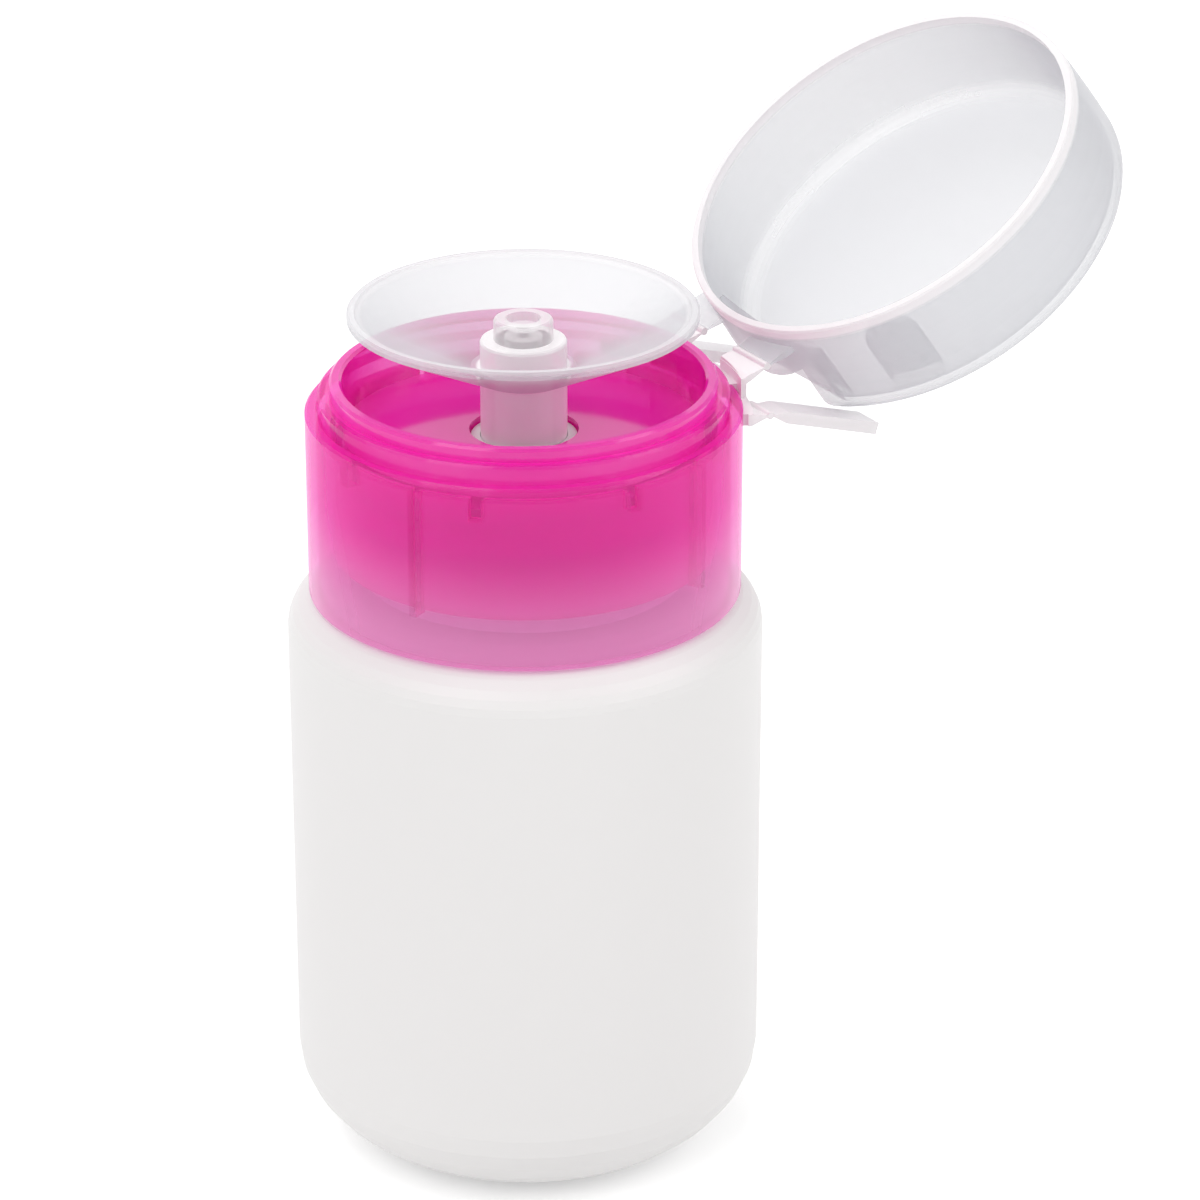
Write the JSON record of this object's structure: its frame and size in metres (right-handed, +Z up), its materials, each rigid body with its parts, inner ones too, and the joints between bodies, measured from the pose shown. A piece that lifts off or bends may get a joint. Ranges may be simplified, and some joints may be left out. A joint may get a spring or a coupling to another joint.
{
  "type": "push-down liquid dispenser bottle",
  "caption": "Round squat bottle with a translucent collar, a dish-topped push-down pump and a clear flip lid on a strap hinge, shown open.",
  "frame": {"origin": "centre of the bottle's flat base, on the surface it stands on", "axes": "+Z up along the bottle axis; +X towards the lid hinge; +Y to the left when looking from the bottle to the hinge"},
  "size_m": [0.1043, 0.055, 0.1257],
  "materials": {
    "bottle_white": "satin white, opaque",
    "collar_pink": "glossy translucent pink",
    "clear_frost": "clear, slightly cloudy",
    "pump_natural": "natural white",
    "gasket_foam": "soft foam",
    "steel": "polished steel"
  },
  "bodies": {
    "bottle": {"bottle": "bottle_white"},
    "pump": {"pump_housing": "pump_natural", "stem_guide": "pump_natural", "gasket": "gasket_foam", "inlet_ball": "steel", "dip_tube": "pump_natural"},
    "collar": {"collar": "collar_pink", "hinge_band": "clear_frost"},
    "press": {"dish": "clear_frost", "spout": "clear_frost", "piston_rod": "pump_natural", "piston": "pump_natural", "outlet_ball": "steel", "return_spring": "steel"},
    "lid": {"lid": "clear_frost"},
    "straps": {"side_strap_right": "clear_frost", "side_strap_left": "clear_frost"}
  },
  "joints": [
    {"name": "head_lift", "type": "slide", "parent": "bottle", "child": "pump", "axis": [0, 0, 1], "range_m": [0, 0.006]},
    {"name": "collar_turn", "type": "hinge", "parent": "pump", "child": "collar", "pos_m": [0, 0, 0.08], "axis": [0, 0, 1], "range_deg": [0, 540]},
    {"name": "pump_press", "type": "slide", "parent": "pump", "child": "press", "axis": [0, 0, 1], "range_m": [-0.0045, 0], "stiffness_N_per_m": 500, "springref_m": 0.004, "deforming": ["return_spring"]},
    {"name": "lid_hinge", "type": "hinge", "parent": "collar", "child": "lid", "pos_m": [0.02745, 0, 0.09368], "axis": [0, 1, 0], "range_deg": [-144.3, 0]},
    {"name": "strap_fold", "type": "hinge", "parent": "collar", "child": "straps", "pos_m": [0.02489, 0, 0.08973], "axis": [0, 1, 0], "range_deg": [-108, 0]}
  ],
  "couplings": [
    {"joint": "collar_turn", "follows": "head_lift", "rad_per_m": 1570.8},
    {"joint": "strap_fold", "follows": "lid_hinge", "ratio": 0.735}
  ]
}
